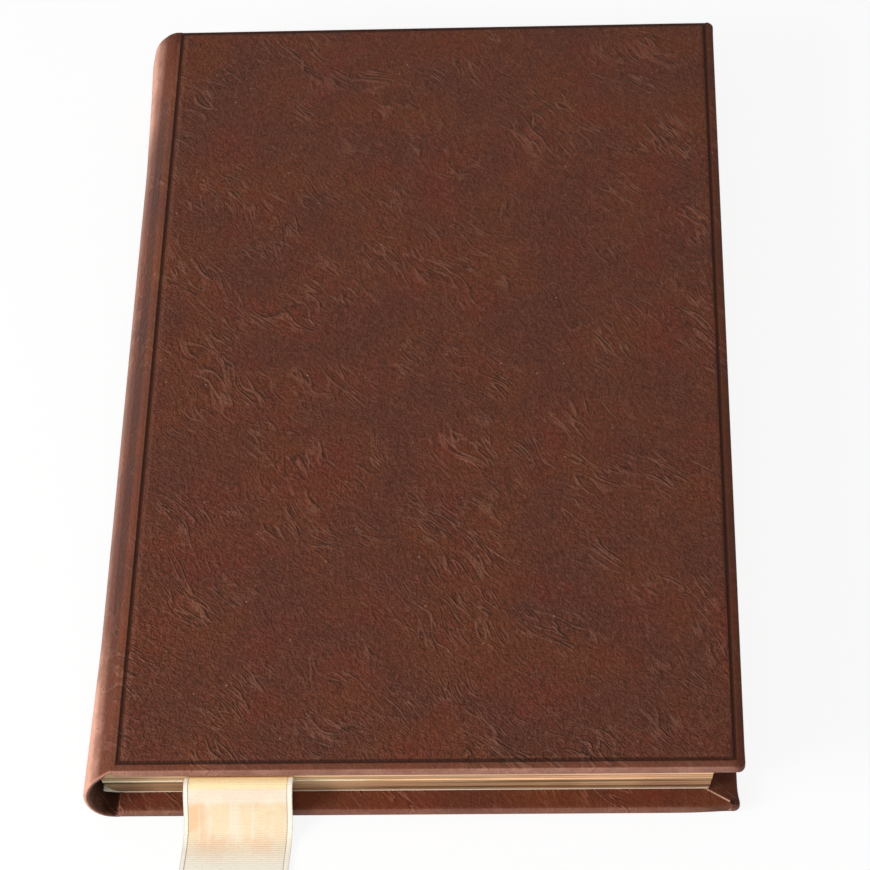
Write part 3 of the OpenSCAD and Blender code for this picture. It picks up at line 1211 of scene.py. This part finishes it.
    def _folded(self, step: int) -> Callable[[int], Vector]:
        """Gives the places of the points round the edge's rounding at one of eight steps."""
        r, t = self.edge_r, self.s.cover_t
        if step <= 4:
            turn = math.radians(22.5 * step)
            board = (r * math.sin(turn), r * (1 - math.cos(turn)))
        else:
            turn = math.radians(30.0 * (step - 5))
            board = (r * math.cos(turn), t - r + r * math.sin(turn))
        half = math.radians(22.5 * step)

        def place(tag: int) -> Vector:
            """Gives the new place of one border point."""
            rim = self.rims[tag - 1]
            free = (r * math.sin(half), rim.wall / 2 * (1 - math.cos(half)))
            out = free[0] + (board[0] - free[0]) * rim.board + rim.bulk * math.sin(half)
            deep = free[1] + (board[1] - free[1]) * rim.board + (rim.sink if step <= 4 else 0.0)
            return (rim.at + rim.out * out + rim.inward * deep) * MM

        return place

    def _turned_in(self, inset: float) -> Callable[[int], Vector]:
        """Gives the places of the points on the inner face at a distance from the edge."""
        s = self.s
        left = s.joint_edge(self.side)
        first = left + s.lip_run
        right, top = left + s.cover_w, s.cover_h / 2
        spread = 1.1 * eased((inset - s.corner_r) / 4.0)
        narrow = min(inset, MITRE_AT + max(0.0, inset - MITRE_AT) * MITRE_SLOPE)
        narrow += (inset - narrow) * eased((inset - 9.0) / 6.0)

        def place(tag: int) -> Vector:
            """Gives the new place of one border point."""
            rim = self.rims[tag - 1]
            deep = rim.wall + (s.cover_t - rim.wall) * rim.board
            sunk = rim.inward * deep
            sign = math.copysign(1.0, rim.at.y)
            if rim.kind == "corner":
                bulk = -self.seam_sink * max(0.0, 1.0 - abs(rim.turn) * 5.0) * eased((inset - 0.9) / 1.2)
                centre = Vector((right - s.corner_r, sign * (top - s.corner_r), rim.at.z))
                if inset <= s.corner_r:
                    return (centre + rim.out * (s.corner_r - inset) + sunk + rim.inward * bulk) * MM
                x = right - inset + min(0.0, rim.turn) * spread
                y = sign * (top - narrow - max(0.0, rim.turn) * spread)
                return (Vector((x, y, rim.at.z)) + sunk + rim.inward * bulk) * MM
            if rim.kind == "fore":
                share = rim.at.y / (top - s.corner_r)
                y = share * (top - max(narrow, s.corner_r) - spread)
                return (Vector((right - inset, y, rim.at.z)) + sunk) * MM
            at = rim.at.copy()
            at.y = sign * (top - (narrow if self.fore else inset))
            if self.fore and at.x > first:
                share = (at.x - first) / (right - s.corner_r - first)
                at.x = first + share * (right - max(inset, s.corner_r) - spread - first)
            return (at + sunk) * MM

        return place

    def _fold(self, obj: bpy.types.Object) -> None:
        """Folds the border over the edge and turns it in."""
        Bench.edit(obj, "EDGE")
        first, last = self.columns[0], self.columns[-1]

        def on_border(edge: bmesh.types.BMEdge) -> bool:
            """Says whether an edge belongs to the border that is folded over."""
            if not edge.is_boundary:
                return False
            layer = mesh.verts.layers.int["rim"]
            return all(v[layer] for v in edge.verts) and not spine_edge(edge)

        def spine_edge(edge: bmesh.types.BMEdge) -> bool:
            """Says whether an edge runs along the spine's piece, where it joins a cover's."""
            low = min(abs(v.co.y) for v in edge.verts) * 1000
            high = max(abs(v.co.y) for v in edge.verts) * 1000
            end_x = edge.verts[0].co.x == edge.verts[1].co.x
            return end_x and not self.fore and high - low > 0.01

        mesh = bmesh.from_edit_mesh(obj.data)
        mesh.edges.ensure_lookup_table()
        Bench.pick_edges(obj, on_border)
        for step in range(1, 9):
            Bench.extrude_edges(obj, self._folded(step), "rim")
        widths = (1.6, 3.0, 6.0, 9.0)
        for width in widths + ((12.0, self.s.turn_in_w) if self.fore else (self.s.cap_l,)):
            Bench.extrude_edges(obj, self._turned_in(width), "rim")
        if self.side is Side.BACK:
            bpy.ops.mesh.select_all(action="SELECT")
            bpy.ops.mesh.flip_normals()
        Bench.done()
        LOG.debug("%s spans %.1f to %.1f mm", self.name, first.x, last.x)

    def _thicken(self, obj: bpy.types.Object) -> None:
        """Gives the sheet its thickness, inwards."""
        depth = self.thick * MM
        Bench.finish(obj, "thickness", "SOLIDIFY", thickness=depth, offset=-1.0, use_even_offset=False)
        Bench.smooth(obj, 40.0)
        Bench.remember(obj)


def section_inward(points: Sequence[tuple[float, float]], i: int, sign: float) -> tuple[float, float]:
    """Gives the unit direction into the journal at a point of a section that runs from spine to cover."""
    a, b = points[max(0, i - 1)], points[min(len(points) - 1, i + 1)]
    dx, dz = b[0] - a[0], b[1] - a[1]
    length = math.hypot(dx, dz)
    return sign * dz / length, -sign * dx / length


def fullness(away: float, reach: float = 8.5) -> float:
    """Gives 1 at the spine's shoulder, fading to 0 within a reach in millimetres."""
    return 0.5 + 0.5 * math.cos(math.pi * min(1.0, away / reach))


@dataclass
class Covering:
    """The covering leather: front, spine and back, joined without a visible seam.

    Attributes:
        seam: How far past the shoulder, in radians, the spine's piece begins.
        dome: How far a cover's margin is rounded down at its edge.
        front_bulk: How far the front cover's fore corners are pinched outwards.
        back_bulk: The same for the back cover.
        bend_half: Half of the stretch that bends at a joint.
    """

    seam: float = 0.26
    dome: float = 0.35
    front_bulk: float = 0.1
    back_bulk: float = 0.75
    bend_half: float = 1.3
    s: Sizes = SIZES
    curve: SpineCurve = field(default_factory=SpineCurve)

    @property
    def edge_sink(self) -> float:
        """How far the margin is rounded down where the board ends and the joint begins."""
        return self.dome * (1.0 - self.s.lip_run / self.s.line_inset) ** 2

    def cover_columns(self, side: Side) -> list[Column]:
        """Gives a cover's section from the seam on the spine to the fore edge."""
        s = self.s
        sign = float(side.value)
        inner = s.shoulder_a - self.seam
        spine = [self.curve.point(sign * (inner + self.seam * i / 6)) for i in range(7)]
        lip = list(reversed(self.curve.lip(side, 12)))
        section = spine + lip[1:]
        columns = []
        shoulder = Vector(section_inward(spine, len(spine) - 1, sign))
        runs = [0.0]
        for a, b in zip(section[6:], section[7:]):
            runs.append(runs[-1] + math.dist(a, b))
        for i, (x, z) in enumerate(section):
            share = runs[i - 6] / runs[-1] if i >= 6 else 0.0
            swell = 1.0 - share**3 if i >= 6 else fullness(math.dist(section[i], section[6]))
            wall = TAIL_WALL + (LIP_WALL - TAIL_WALL) * share
            if i < 6:
                inward = section_inward(spine, i, sign)
            else:
                inward = tuple(shoulder.slerp(Vector((0.0, -sign)), share))
            sink = self.edge_sink * eased(share * 2.0 - 1.0)
            columns.append(Column(x, z, inward, 0.0, wall, sink, swell))
        left, outer_z = s.joint_edge(side), s.outer_z(side)
        line, half = s.line_inset, s.line_w / 2
        right = s.cover_w
        stations = spaced(
            (s.lip_run, line - half, 4),
            (line - half, line - half + 0.22, 2),
            (line - half + 0.22, line + half - 0.22, 2),
            (line + half - 0.22, line + half, 2),
            (line + half, line + 3.0, 3),
            (line + 3.0, right - line - 3.0, 122),
            (right - line - 3.0, right - line - half, 3),
            (right - line - half, right - line - half + 0.22, 2),
            (right - line - half + 0.22, right - line + half - 0.22, 2),
            (right - line + half - 0.22, right - line + half, 2),
            (right - line + half, right - 0.7, 4),
        )
        for u in stations[1:]:
            share = eased((u - s.lip_run) / 0.8)
            columns.append(Column(left + u, outer_z, (0.0, -sign), share, LIP_WALL, self.edge_sink))
        return columns

    def spine_columns(self) -> list[Column]:
        """Gives the spine's section from the back seam round to the front one."""
        end = self.s.shoulder_a - self.seam
        steps = 40
        section = [self.curve.point(-end + 2 * end * i / steps) for i in range(steps + 1)]
        shoulders = [self.curve.point(sign * self.s.shoulder_a) for sign in (-1, 1)]
        columns = []
        for i, (x, z) in enumerate(section):
            swell = sum(fullness(math.dist((x, z), tip)) for tip in shoulders)
            columns.append(Column(x, z, section_inward(section, i, 1.0), 0.0, TAIL_WALL, 0.0, swell))
        return columns

    def build(self, finish: LeatherFinish) -> None:
        """Builds the three pieces and dresses them, and hangs the spine's piece on the book block."""
        s = self.s
        for side, body, node in (
            (Side.FRONT, "front_cover", "front_leather"),
            (Side.BACK, "back_cover", "back_leather"),
        ):
            left, outer_z = s.joint_edge(side), s.outer_z(side)
            bulk = self.back_bulk if side is Side.BACK else self.front_bulk
            columns = self.cover_columns(side)
            obj = LeatherSkin(columns, f"{node}_skin", side, dome=self.dome, corner_bulk=bulk).build()
            Bench.dress(obj, finish.material(f"{node}_finish", left, outer_z))
            start, end = self.joint_span(side)
            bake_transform(obj)
            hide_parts(node)
            LOG.info("%s: %d faces", obj.name, len(obj.data.polygons))
        spine = LeatherSkin(self.spine_columns(), "spine_leather_skin").build()
        Bench.dress(spine, finish.material("spine_leather_finish", s.front_x, s.total_t + 50.0))
        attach(spine, "book_block")
        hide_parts("spine_leather")
        LOG.info("%s: %d faces", spine.name, len(spine.data.polygons))

    def joint_span(self, side: Side) -> tuple[Vector, Vector]:
        """Gives the start and the end of the stretch that bends at a joint."""
        sign = side.value
        a = Vector(self.curve.point(sign * (self.s.shoulder_a - 0.02)))
        b = Vector(self.curve.point(sign * self.s.shoulder_a))
        way = (b - a).normalized()
        start, end = b - way * self.bend_half, b + way * self.bend_half
        return Vector((start.x, 0.0, start.y)) * MM, Vector((end.x, 0.0, end.y)) * MM


# ---------------------------------------------------------------- leaves


@dataclass
class PageBlock:
    """The sewn leaves, in bundles whose edges stand a hair apart."""

    bundles: int = 44
    across: int = 90
    along: int = 60
    s: Sizes = SIZES

    def build(self, finish: GiltFinish) -> bpy.types.Object:
        """Stacks the leaves upwards from the bottom one."""
        s = self.s
        rng = random.Random(7)
        obj = Bench.grid("leaves", self.across, self.along)
        lowest = s.side_t
        left, right = self.span(lowest)
        for vert in obj.data.vertices:
            vert.co = Vector((
                left + (vert.co.x + 0.5) * (right - left), vert.co.y * s.page_h, lowest
            )) * MM
        Bench.edit(obj, "FACE")
        bpy.ops.mesh.select_all(action="SELECT")
        step = s.pages_t / self.bundles
        gap_low = s.ribbon_z - s.ribbon_t / 2 - s.ribbon_gap
        bundle_tops = {round(lowest + step * k, 4) for k in range(1, self.bundles + 1)}
        levels = sorted(bundle_tops | {gap_low, gap_low + s.ribbon_t + 2 * s.ribbon_gap})
        was = (left, right, s.page_h)
        z = lowest
        for level in levels:
            bpy.ops.mesh.extrude_region_move(TRANSFORM_OT_translate={"value": (0, 0, (level - z) * MM)})
            new_left, new_right = self.span(level)
            jut = rng.uniform(-0.07, 0.07)
            if level <= gap_low:
                jut += 0.10
            now = (new_left, new_right + jut, s.page_h + 2 * jut)
            scale = ((now[1] - now[0]) / (was[1] - was[0]), now[2] / was[2], 1.0)
            pivot = Vector((was[0], 0.0, level)) * MM
            bpy.ops.transform.resize(value=scale, center_override=pivot)
            bpy.ops.transform.translate(value=((now[0] - was[0]) * MM, 0, 0))
            was, z = now, level
        Bench.done()
        Bench.outwards(obj)
        Bench.smooth(obj, 30.0)
        Bench.dress(obj, finish.material("leaves_finish"))
        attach(obj, "book_block")
        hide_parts("text_block")
        LOG.info("%s: %d faces", obj.name, len(obj.data.polygons))
        return obj

    def span(self, z: float) -> tuple[float, float]:
        """Gives the leaves' back and fore edge at a height."""
        s = self.s
        rise = min(1.0, max(-1.0, (z - s.mid_z) / (s.pages_t / 2)))
        lean = s.page_lean / 2 * rise
        return s.pages_x - s.back_round * math.sqrt(1 - rise * rise) + lean, s.fore_x + lean


# ---------------------------------------------------------------- ribbon


@dataclass
class Ribbon:
    """The satin ribbon, from between the leaves over the back cover's edge to the table."""

    drift: float = 4.0
    across: int = 24
    s: Sizes = SIZES

    def path(self) -> list[Vector]:
        """Gives the ribbon's line, y and z, from the head to its end."""
        s = self.s
        tail_y, edge_y = -s.page_h / 2, -s.cover_h / 2
        rest_z = s.ribbon_t / 2 + s.ribbon_gap / 2
        top_z = s.ribbon_z + s.ribbon_rise
        wall_y = tail_y - 0.55
        bends = (
            ((tail_y - 0.05, s.ribbon_z), (wall_y, s.ribbon_z), (wall_y, s.ribbon_z + 0.65)),
            ((wall_y, top_z - 0.95), (wall_y, top_z), (wall_y - 1.05, top_z)),
            ((wall_y - 1.05, top_z), (edge_y + 1, top_z), (edge_y - 1.5, (top_z + rest_z) / 2)),
            ((edge_y - 1.5, (top_z + rest_z) / 2), (edge_y - 4, rest_z), (edge_y - 9, rest_z)),
        )
        line = [Vector((s.page_h / 2 - s.head_end - 1.0, s.ribbon_z))]
        line += [Vector((s.page_h / 2 - s.head_end - 1.0 - 23.0 * k, s.ribbon_z)) for k in range(1, 9)]
        for a, b, c in bends:
            a, b, c = Vector(a), Vector(b), Vector(c)
            for i in range(13):
                t = i / 12
                p = (1 - t) ** 2 * a + 2 * t * (1 - t) * b + t * t * c
                if (p - line[-1]).length > 0.02:
                    line.append(p)
        end_y = edge_y - s.ribbon_tail
        here = line[-1].x
        line += [Vector((here + (end_y - here) * i / 40, rest_z)) for i in range(1, 41)]
        return line

    def build(self, finish: SatinFinish) -> bpy.types.Object:
        """Draws the ribbon out step by step along its line."""
        s = self.s
        line = self.path()
        obj = Bench.grid("ribbon", self.across, 1)
        first, second = line[0], line[1]
        for vert in obj.data.vertices:
            at = first if vert.co.y > 0 else second
            vert.co = Vector((s.ribbon_x + (vert.co.x + 0.5) * s.ribbon_w, at.x, at.y)) * MM
        Bench.edit(obj, "EDGE")
        edge_y = second.x * MM
        Bench.pick_edges(obj, lambda e: all(abs(v.co.y - edge_y) < 1e-7 for v in e.verts))
        for a, b in zip(line[1:], line[2:]):
            slide = -self.drift * (a.x - b.x) / 60.0 if b.x < -s.page_h / 2 - 0.5 else 0.0
            bpy.ops.mesh.extrude_region_move(
                TRANSFORM_OT_translate={"value": (slide * MM, (b.x - a.x) * MM, (b.y - a.y) * MM)}
            )
        Bench.done()
        self._lay_out(obj, line)
        self._ripple(obj)
        Bench.finish(obj, "thickness", "SOLIDIFY", thickness=s.ribbon_t * MM, offset=0.0)
        Bench.smooth(obj, 60.0)
        Bench.dress(obj, finish.material("ribbon_finish"))
        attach(obj, "book_block")
        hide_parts("ribbon_marker")
        length = sum((b - a).length for a, b in zip(line, line[1:]))
        LOG.info("%s: %d faces, %.1f mm long", obj.name, len(obj.data.polygons), length)
        return obj

    def _lay_out(self, obj: bpy.types.Object, line: list[Vector]) -> None:
        """Writes the ribbon's flat coordinates, in millimetres, as its UV map."""
        runs = [0.0]
        for a, b in zip(line, line[1:]):
            runs.append(runs[-1] + (b - a).length)
        rows = []
        for vert in obj.data.vertices:
            at = Vector((vert.co.y / MM, vert.co.z / MM))
            rows.append(min(range(len(line)), key=lambda k: (line[k] - at).length_squared))
        lefts: dict[int, float] = {}
        for vert, row in zip(obj.data.vertices, rows):
            lefts[row] = min(lefts.get(row, 1e9), vert.co.x)
        layer = obj.data.uv_layers.new(name="weave")
        for loop in obj.data.loops:
            row = rows[loop.vertex_index]
            across = (obj.data.vertices[loop.vertex_index].co.x - lefts[row]) / MM
            layer.data[loop.index].uv = (across, runs[row])

    def _ripple(self, obj: bpy.types.Object) -> None:
        """Lifts the lying part a little, as a pressed ribbon does."""
        s = self.s
        edge_y = -s.cover_h / 2
        for vert in obj.data.vertices:
            x, y = vert.co.x / MM, vert.co.y / MM
            if y > edge_y - 2:
                continue
            share = eased((edge_y - 2 - y) / 10.0)
            lift = 0.28 * (1 + noise.noise(Vector((x * 0.09, y * 0.06, 2.3))))
            vert.co.z += lift * share * MM


# ---------------------------------------------------------------- endpapers


@dataclass
class EndpaperJoint:
    """The endpaper's fold, from the flyleaf into the joint and back to the pasted leaf.

    Attributes:
        side: The cover it belongs to.
        bend_half: Half of the stretch that bends, in millimetres; not used.
    """

    side: Side
    bend_half: float = 0.12
    s: Sizes = SIZES
    curve: SpineCurve = field(default_factory=SpineCurve)

    def section(self) -> list[Vector]:
        """Gives the fold's line, x and z, from the flyleaf to the pasted leaf."""
        s = self.s
        sign = self.side.value
        lean = sign * s.page_lean / 2
        fly_z = s.side_t - s.paper_t / 2 if sign < 0 else s.total_t - s.side_t + s.paper_t / 2
        paste_z = s.cover_t + s.paper_t / 2 if sign < 0 else s.total_t - s.cover_t - s.paper_t / 2
        edge_x = s.joint_edge(self.side)
        tip = Vector(self.curve.point(sign * s.shoulder_a))
        into = Vector((0.745, -0.667)) if sign > 0 else Vector((0.89, 0.456))
        fold = tip + into * 1.95
        return [
            Vector((s.pages_x + lean + 0.4, fly_z)),
            Vector((s.pages_x + lean - 1.4, fly_z - sign * 0.02)),
            fold + Vector((0.9, -sign * 0.30)),
            fold,
            fold + Vector((0.55, sign * 0.35)),
            Vector((edge_x + 1.0, paste_z)),
            Vector((edge_x + 2.0, paste_z)),
        ]

    def build(self, finish: PaperFinish, body: str) -> bpy.types.Object:
        """Draws the fold out from the flyleaf."""
        s = self.s
        name = f"{self.side.name.lower()}_endpaper_fold"
        line = rounded(self.section(), 6)
        obj = Bench.grid(name, 1, 24)
        first, second = line[0], line[1]
        for vert in obj.data.vertices:
            at = first if vert.co.x > 0 else second
            vert.co = Vector((at.x, vert.co.y * s.page_h, at.y)) * MM
        Bench.edit(obj, "EDGE")

        def at_second(vert: bmesh.types.BMVert) -> bool:
            """Says whether a point lies on the section's second station."""
            return (vert.co - Vector((second.x, vert.co.y / MM, second.y)) * MM).length < 1e-7

        Bench.pick_edges(obj, lambda edge: all(at_second(vert) for vert in edge.verts))
        for a, b in zip(line[1:], line[2:]):
            step = (b - a) * MM
            bpy.ops.mesh.extrude_region_move(TRANSFORM_OT_translate={"value": (step.x, 0, step.y)})
        Bench.done()
        Bench.finish(obj, "thickness", "SOLIDIFY", thickness=0.1 * MM, offset=0.0)
        Bench.smooth(obj, 60.0)
        Bench.remember(obj)
        Bench.dress(obj, finish.material(f"{name}_finish", bends=True))
        fold = self.section()[3]
        sign = self.side.value
        across = Vector((-0.33, 0.0, sign * 0.944))
        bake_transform(obj)
        LOG.info("%s: %d faces", obj.name, len(obj.data.polygons))
        return obj


def rounded(points: Sequence[Vector], steps: int) -> list[Vector]:
    """Draws a smooth line through points.

    Args:
        points: The points to pass.
        steps: How many steps there are between two of them.

    Returns:
        The line's points.
    """
    line = []
    count = len(points)
    for i in range(count - 1):
        p0, p1, p2, p3 = (points[min(count - 1, max(0, i + k))] for k in (-1, 0, 1, 2))
        for j in range(steps):
            t = j / steps
            line.append(
                0.5 * (2 * p1 + (p2 - p0) * t + (2 * p0 - 5 * p1 + 4 * p2 - p3) * t * t
                       + (3 * p1 - p0 - 3 * p2 + p3) * t ** 3)
            )
    return line + [points[-1]]


# ---------------------------------------------------------------- plain nodes


@dataclass
class InnerPieces:
    """The CAD nodes whose shapes stay, with their own finishes."""

    def dress(self, nodes: dict[str, bpy.types.Object]) -> None:
        """Gives each node its material."""
        paper, board = PaperFinish(), BoardFinish()
        finishes = {
            "front_flyleaf": paper,
            "back_flyleaf": paper,
            "front_pastedown": paper,
            "back_pastedown": paper,
            "front_board": board,
            "back_board": board,
            "spine_card": board,
            "spine_lining": ClothFinish(),
        }
        for name, finish in finishes.items():
            Bench.dress(nodes[name], finish.material(f"{name}_finish"))
            LOG.info("%s: finished", name)


# ---------------------------------------------------------------- studio


@dataclass
class Studio:
    """The camera at the photograph's angle, a white table and soft light."""

    place: tuple[float, float, float] = (0.03993, -0.45771, 0.62965)
    aim: tuple[float, float, float] = (-0.05108, 0.5827, -0.81108)
    right: tuple[float, float, float] = (0.99861, 0.01947, -0.0489)
    down: tuple[float, float, float] = (-0.01271, -0.81246, -0.58288)
    lens: float = 128.64
    sky: tuple[float, float, float, float] = (0.96, 0.98, 1.0, 1.0)
    sky_level: float = 0.42

    def build(self) -> None:
        """Sets up the camera, the lamps, the world and the table."""
        self._camera()
        self._lamp("key", (-0.86, -0.44, 0.42), 0.45, 12.0, (1.0, 0.97, 0.94))
        self._lamp("fill", (0.1, -0.9, 1.2), 0.9, 5.0, (0.98, 0.99, 1.0))
        self._world()
        self._table()
        bpy.context.scene.view_settings.view_transform = "Standard"

    def _camera(self) -> None:
        """Places the camera."""
        camera = bpy.data.objects.new("camera", bpy.data.cameras.new("camera"))
        bpy.context.scene.collection.objects.link(camera)
        right, down, aim = Vector(self.right), Vector(self.down), Vector(self.aim)
        turn = Matrix((right, -down, -aim)).transposed()
        camera.matrix_world = Matrix.Translation(self.place) @ turn.to_4x4()
        camera.data.sensor_width = 36.0
        camera.data.sensor_fit = "HORIZONTAL"
        camera.data.lens = self.lens
        camera.data.clip_start = 0.01
        camera.data.clip_end = 20.0
        bpy.context.scene.camera = camera

    def _lamp(
        self, name: str, at: tuple[float, float, float], size: float, power: float, tint: tuple[float, ...]
    ) -> None:
        """Adds a soft square lamp that points at the journal."""
        lamp = bpy.data.lights.new(name, "AREA")
        lamp.size = size
        lamp.energy = power
        lamp.color = tint
        obj = bpy.data.objects.new(name, lamp)
        obj.location = at
        obj.rotation_euler = (Vector((0, 0, 0.01)) - Vector(at)).to_track_quat("-Z", "Y").to_euler()
        bpy.context.scene.collection.objects.link(obj)

    def _world(self) -> None:
        """Lights the scene evenly and shows white to the camera."""
        shop = ShaderShop("studio", bpy.data.worlds)
        white = shop.node("ShaderNodeBackground", {}, {0: (1.0, 1.0, 1.0, 1.0), 1: 1.0})
        soft = shop.node("ShaderNodeBackground", {}, {0: self.sky, 1: self.sky_level})
        mixed = shop.node(
            "ShaderNodeMixShader", {}, {0: shop.seen_white(), 1: soft.outputs[0], 2: white.outputs[0]}
        )
        shop.node("ShaderNodeOutputWorld", {}, {0: mixed.outputs[0]})
        bpy.context.scene.world = shop.material

    def _table(self) -> None:
        """Adds the table's top, a little below the journal."""
        Bench.clear()
        bpy.ops.mesh.primitive_plane_add(size=6.0, location=(0, 0, -0.0002))
        floor = Bench.named("table")
        Bench.dress(floor, FloorFinish().material("table_finish"))


# ---------------------------------------------------------------- the journal


def main() -> None:
    """Builds the journal piece by piece and lights it."""
    logging.basicConfig(level=logging.INFO, format="%(name)s: %(message)s")
    leather = LeatherFinish()
    InnerPieces().dress(frame["nodes"])
    Covering().build(leather)
    PageBlock().build(GiltFinish())
    EndpaperJoint(Side.FRONT).build(PaperFinish(), "front_cover")
    EndpaperJoint(Side.BACK).build(PaperFinish(), "back_cover")
    Ribbon().build(SatinFinish())
    Studio().build()


if __name__ == "__main__":
    main()
